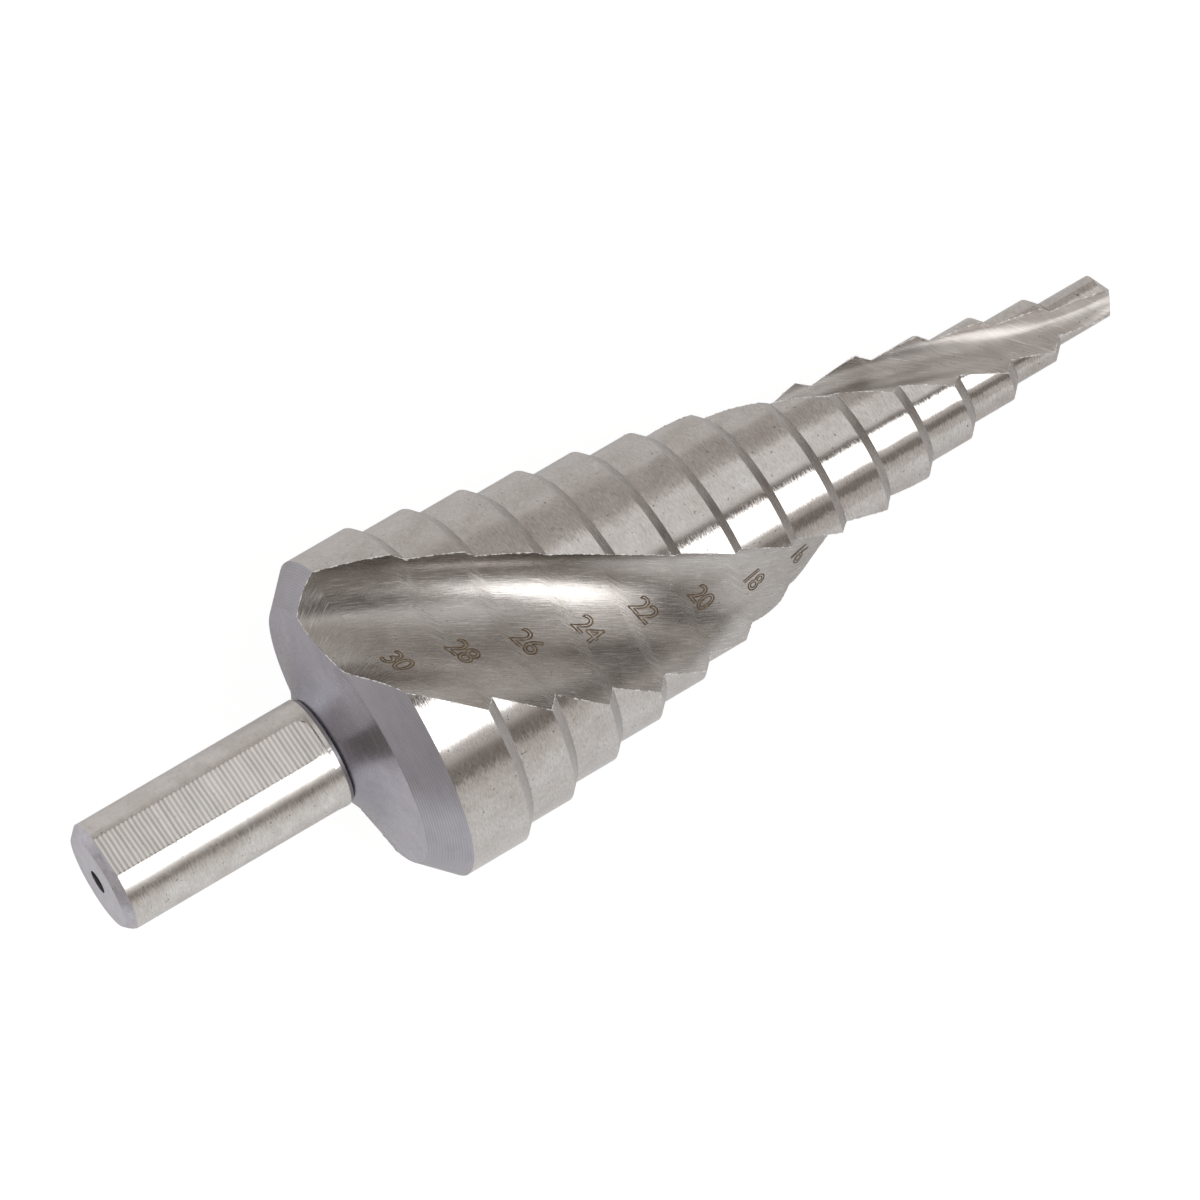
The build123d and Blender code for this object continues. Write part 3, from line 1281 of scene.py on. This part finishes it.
# The lines that a grinding wheel leaves are too fine to show in the render, and are drawn as coarse as they
# need to show, about 0.1 mm apart.
STEELS = {
    # Cylindrically ground lands: near-mirror metal whose fine hoops fray a reflection's border.
    Region.LAND: Steel("ground_steel_land", "#dfdbd8", "#b9afa7", (0.11, 0.18), Guide.DRILL, (2.0, 2.0, 9.0),
                       0.003, contrast=0.34, waver=0.09, stain_size=3.0, specks=0.8),
    # Shoulders ground by the wheel's corner: the same metal, a little rougher and darker.
    Region.SHOULDER: Steel("ground_steel_shoulder", "#c4c0bd", "#aaa39e", (0.2, 0.28), Guide.DRILL, (1, 1, 6),
                           0.003, waver=0.08),
    # Deep-ground flutes: scratches that lean across the flute's run, and a faint warm tint. Towards the point
    # the colour is painted brighter as a painted sheen, and on the strongest scratches as a painted glint.
    Region.FLUTE: Steel("ground_steel_flute", "#d2cecb", "#ada59e", (0.20, 0.32), Guide.FLUTE, (0.5, 14.0, 0.3),
                        0.013, contrast=0.30, specks=0.6, worn_point=0.2, painted_glints=0.4),
    # Turned and hardened back: dull blue-grey scale, smooth and faintly glossy, with painted shade that darkens
    # its colour in the curve at the neck.
    Region.BACK: Steel("turned_hardened_steel", "#c3c1cc", "#a4a2ae", (0.22, 0.30), Guide.DRILL,
                       (0.5, 0.5, 7.0), 0.002, contrast=0.08, stain_size=2.5, specks=0.3, painted_root_shade=0.2),
    # Ground shank: as the lands, scuffed by handling.
    Region.SHANK: Steel("ground_steel_shank", "#e8e5e2", "#c0b7b0", (0.18, 0.27), Guide.DRILL, (1.5, 1.5, 8.5),
                        0.003, contrast=0.24, waver=0.10, stain_size=2.0, specks=0.8),
    # Chuck flats milled across the shank: coarse straight lines, one at each pass of the cutter.
    Region.FLAT: Steel("milled_steel_flat", "#f4f0ed", "#dcd5cf", (0.2, 0.3), Guide.DRILL, (0.12, 0.12, 1.4),
                       0.010, contrast=0.5, ruling=0.42),
    # Drilled centre hole: its colour painted dark as painted shade inside the hole.
    Region.CENTRE: Steel("drilled_steel_centre_hole_painted_shade", "#8f8b88", "#6f6a66", (0.25, 0.35), Guide.DRILL,
                         (1, 1, 8), 0.01),
    # Hand-finished point: no lines of one direction.
    Region.POINT: Steel("ground_steel_point", "#cfcbc8", "#aca5a0", (0.18, 0.28), Guide.DRILL,
                        (3, 3, 3), 0.004),
    # Undercut neck: rough scale that no grinding reached, its colour painted dark as painted shade in the
    # narrow groove.
    Region.NECK: Steel("scaled_steel_neck_painted_shade", "#a3a0a5", "#827e82", (0.4, 0.55), Guide.DRILL, (1, 1, 6), 0.004),
    # Turned back chamfer: as the back, with the lathe tool's rings. Real ones lie about 0.1 mm apart, too
    # fine to show, and are drawn coarser.
    Region.CHAMFER: Steel("turned_steel_chamfer", "#bfbdc5", "#a5a3ab", (0.3, 0.38), Guide.DRILL,
                          (0.3, 0.3, 5.0), 0.006, contrast=0.22, specks=0.3, ruling=0.17),
    # Sawn and turned end of the shank: the same blue-grey, a little duller.
    Region.END: Steel("turned_steel_shank_end", "#d0ced5", "#afadb4", (0.3, 0.4), Guide.DRILL, (2.5, 2.5, 2.5),
                      0.004, contrast=0.25, stain_size=1.5, specks=0.5),
}


@dataclass
class StudioCamera:
    """Camera at the photograph's viewing angle.

    Attributes:
        tilt: angle between the view and the drill's cross-section, in degrees.
        roll: direction of the drill's axis in the picture, in degrees, down being positive.
        distance: from the lens to the drill frame's origin, in mm.
        pixels_per_mm: scale of the picture at the drill frame's origin.
        offset_pixels: how far the drill frame's origin lies right of and below the middle.
        picture: width and height of the picture in pixels.
        sensor: width of the sensor in mm.
    """

    tilt: float = 14.140627
    roll: float = -30.387673
    distance: float = 674.63
    pixels_per_mm: float = 12.057438
    offset_pixels: tuple[float, float] = (-223.979, 118.871)
    picture: int = 1200
    sensor: float = 36.0

    def build(self) -> bpy.types.Object:
        """Makes the camera and sets it as the scene's.

        Returns:
            The camera object.
        """
        tilt, roll = math.radians(self.tilt), math.radians(self.roll)
        along = Vector((math.sin(tilt), 0, math.cos(tilt)))
        across = Vector((0, 1, 0))
        right = along * math.cos(roll) - across * math.sin(roll)
        down = along * math.sin(roll) + across * math.cos(roll)
        ahead = Vector((-math.cos(tilt), 0, math.sin(tilt)))
        spot = right * (-self.offset_pixels[0] / self.pixels_per_mm)
        spot += down * (-self.offset_pixels[1] / self.pixels_per_mm) - ahead * self.distance
        turn = REST.turn()
        data = bpy.data.cameras.new("studio_camera")
        data.sensor_width = self.sensor
        data.lens = self.pixels_per_mm * self.distance / self.picture * self.sensor
        data.clip_start, data.clip_end = 0.01, 20
        camera = bpy.data.objects.new("studio_camera", data)
        axes = Matrix((turn @ right, turn @ -down, turn @ -ahead)).transposed()
        camera.matrix_world = Matrix.Translation(REST.matrix() @ spot) @ axes.to_4x4()
        bpy.context.scene.collection.objects.link(camera)
        bpy.context.scene.camera = camera
        return camera


@dataclass(frozen=True)
class SoftCard:
    """A light or dark card of the studio, as the drill sees it.

    Attributes:
        bearing: angle of its middle from straight up towards +Y, in degrees.
        rise: angle of its middle from straight across towards the point, in degrees.
        half_bearing: half its angle across.
        half_rise: half its angle along the drill.
        blur: width of its soft border, in degrees.
        glow: brightness that it adds to the room, or takes from it.
    """

    bearing: float
    rise: float
    half_bearing: float
    half_rise: float
    blur: float
    glow: float


@dataclass
class Studio:
    """Pale floor and plain soft light.

    Attributes:
        floor_size: length of the floor's sides, in metres.
        floor_colour: colour of the floor's paper.
        near_painted_light: how much of the white floor shiny metal sees towards -Y and beyond the shank's end,
            a painted pool of light that covers the drill's shadow in reflections.
        far_painted_light: how much of it elsewhere, where metal mostly sees the paper with the shadow.
        side_span: Y in metres from which, and to which, the one turns into the other.
        shank_span: the same along X.
        camera_share: how much of the white floor the camera sees, the rest being paper with the shadow.
        paper_glow: brightness of the white floor, and camera_glow what the camera gets on top.
        room_colour: colour of the bright room, and dark_colour of its darkest places.
        room_glow: brightness of the room without cards, and darkest the least that the cards leave.
        cards: the soft cards.
    """

    floor_size: float = 1.6
    floor_colour: str = "#ffffff"
    near_painted_light: float = 0.74
    far_painted_light: float = 0.06
    side_span: tuple[float, float] = (-0.035, -0.005)
    shank_span: tuple[float, float] = (-0.065, -0.05)
    camera_share: float = 0.8
    paper_glow: float = 0.9
    camera_glow: float = 0.25
    room_colour: str = "#ffffff"
    dark_colour: str = "#fff2e8"
    room_glow: float = 0.62
    darkest: float = 0.07
    cards: tuple[SoftCard, ...] = (
        SoftCard(-26, 19, 16, 15, 3, 2.5),
        SoftCard(-5, 24, 5, 14, 5, -0.42),
        SoftCard(24, 22, 22, 12, 10, 0.30),
        SoftCard(52, 43, 34, 9, 8, -0.32),
        SoftCard(-62, 22, 8, 22, 6, -0.36),
        SoftCard(-78, 46, 22, 12, 8, -0.44),
        SoftCard(14, 68, 48, 12, 12, -0.48),
        SoftCard(-60, 68, 26, 12, 12, -0.10),
        SoftCard(-80, -31, 85, 27, 9, -0.36),
        SoftCard(18, 1, 17, 13, 9, -0.52),
        SoftCard(80, 16, 26, 22, 12, -0.11),
        SoftCard(55, -22, 38, 14, 10, 0.25),
        SoftCard(130, -20, 40, 50, 16, 0.25),
        SoftCard(-88, 8, 10, 9, 8, 0.18),
    )

    def floor(self) -> bpy.types.Object:
        """Lays the floor, white to the camera and to shiny metal, with a trace of the drill's shadow and a
        painted pool of light that metal sees towards -Y and beyond the shank's end.

        Returns:
            The floor object.
        """
        half = self.floor_size / 2
        mesh = bpy.data.meshes.new("studio_floor")
        corners = [(-half, -half, 0), (half, -half, 0), (half, half, 0), (-half, half, 0)]
        mesh.from_pydata(corners, [], [(0, 1, 2, 3)])
        material, tree = empty_material("white_paper_floor")
        path = add_node(tree, "LightPath")
        camera_ray = path.outputs["Is Camera Ray"]
        place = add_node(tree, "SeparateXYZ", {}, {0: add_node(tree, "TexCoord").outputs["Object"]})
        # Painted light: towards -Y and beyond the shank's end, metal sees the floor as white glow rather than
        # shadowed paper.
        side, behind = (add_node(tree, "MapRange", {},
                                 {"Value": place.outputs[axis], "From Min": span[0], "From Max": span[1],
                                  "To Min": self.near_painted_light, "To Max": self.far_painted_light})
                        for axis, span in (("Y", self.side_span), ("X", self.shank_span)))
        lit = add_node(tree, "Math", {"operation": "MAXIMUM"}, {0: side, 1: behind})
        glossy = add_node(tree, "Math", {"operation": "MULTIPLY"}, {0: path.outputs["Is Glossy Ray"], 1: lit})
        share = add_node(tree, "Math", {"operation": "MULTIPLY_ADD"},
                         {0: camera_ray, 1: self.camera_share, 2: glossy})
        level = add_node(tree, "Math", {"operation": "MULTIPLY_ADD"},
                         {0: camera_ray, 1: self.camera_glow, 2: self.paper_glow})
        paper = add_node(tree, "BsdfDiffuse", {}, {"Color": linear(self.floor_colour)})
        glow = add_node(tree, "Emission", {}, {"Color": (1, 1, 1, 1), "Strength": level})
        mix = add_node(tree, "MixShader", {}, {0: share, 1: paper, 2: glow})
        add_node(tree, "OutputMaterial", {}, {"Surface": mix})
        mesh.materials.append(material)
        floor = bpy.data.objects.new("studio_floor", mesh)
        bpy.context.scene.collection.objects.link(floor)
        return floor

    def window(self, tree: Tree, angle: Node, middle: float, half: float, blur: float) -> Node:
        """Makes a soft window in one angle.

        Args:
            tree: the world's node tree.
            angle: the angle, in degrees.
            middle: middle of the window.
            half: half its width.
            blur: width of its soft border.

        Returns:
            Node whose value is 1 inside the window and 0 outside.
        """
        away = add_node(tree, "Math", {"operation": "SUBTRACT"}, {0: angle, 1: middle})
        size = add_node(tree, "Math", {"operation": "ABSOLUTE"}, {0: away})
        return add_node(tree, "MapRange", {"interpolation_type": "SMOOTHSTEP"},
                        {"Value": size, "From Min": half + blur / 2, "From Max": half - blur / 2})

    def room(self) -> None:
        """Surrounds the drill with a pale room and the soft cards."""
        world = bpy.data.worlds.new("studio")
        world.use_nodes = True
        tree = world.node_tree
        tree.nodes.clear()
        way = add_node(tree, "SeparateXYZ", {}, {0: add_node(tree, "TexCoord").outputs["Generated"]}).outputs
        turn = add_node(tree, "Math", {"operation": "ARCTAN2"}, {0: way["Y"], 1: way["Z"]})
        lift = add_node(tree, "Math", {"operation": "ARCSINE"}, {0: way["X"]})
        bearing, rise = (add_node(tree, "Math", {"operation": "DEGREES"}, {0: angle}) for angle in (turn, lift))
        level = self.room_glow
        for card in self.cards:
            across = self.window(tree, bearing, card.bearing, card.half_bearing, card.blur)
            along = self.window(tree, rise, card.rise, card.half_rise, card.blur)
            both = add_node(tree, "Math", {"operation": "MULTIPLY"}, {0: across, 1: along})
            level = add_node(tree, "Math", {"operation": "MULTIPLY_ADD"}, {0: both, 1: card.glow, 2: level})
        dim = add_node(tree, "Math", {"operation": "MAXIMUM"}, {0: level, 1: self.darkest})
        bright = add_node(tree, "MapRange", {}, {"Value": dim, "From Min": self.darkest, "From Max": 1.0})
        colour = add_node(tree, "Mix", {"data_type": "RGBA"},
                          {"Factor": bright, "A": linear(self.dark_colour), "B": linear(self.room_colour)})
        back = add_node(tree, "Background", {}, {"Color": colour.outputs["Result"], "Strength": dim})
        add_node(tree, "OutputWorld", {}, {"Surface": back})
        bpy.context.scene.world = world

    def build(self) -> None:
        """Builds the floor and the room."""
        self.floor()
        self.room()


def dress(piece: bpy.types.Object, materials: list[bpy.types.Material]) -> None:
    """Links a piece, gives it its materials and lets it ride with the drill.

    Args:
        piece: the new object.
        materials: its materials, in the order of its slots.
    """
    bpy.context.scene.collection.objects.link(piece)
    for material in materials:
        piece.data.materials.append(material)
    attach(piece, "root")
    LOG.info("%s: %d faces", piece.name, len(piece.data.polygons))


def main() -> None:
    """Builds the drill and the studio round it."""
    logging.basicConfig(level=logging.INFO, format="%(name)s: %(message)s")
    drill = DrillSkin()
    skin = drill.mesh()
    dress(skin, [STEELS[region].build() for region in Region])
    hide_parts("step_drill")
    numbers = SizeNumbers()
    dress(numbers.build(skin, drill), [numbers.finish()])
    burrs = EdgeBurrs()
    dress(burrs.build("flute_edge_burrs", drill.edge_lines()), [burrs.finish()])
    rims = EdgeBurrs(spacing=0.07, smallest=0.012, largest=0.035, seed=11)
    dress(rims.build("chuck_flat_burrs", drill.flat_outlines()), [rims.finish()])
    Studio().build()
    StudioCamera().build()
    bpy.context.scene.view_settings.view_transform = "Standard"


if __name__ == "__main__":
    main()
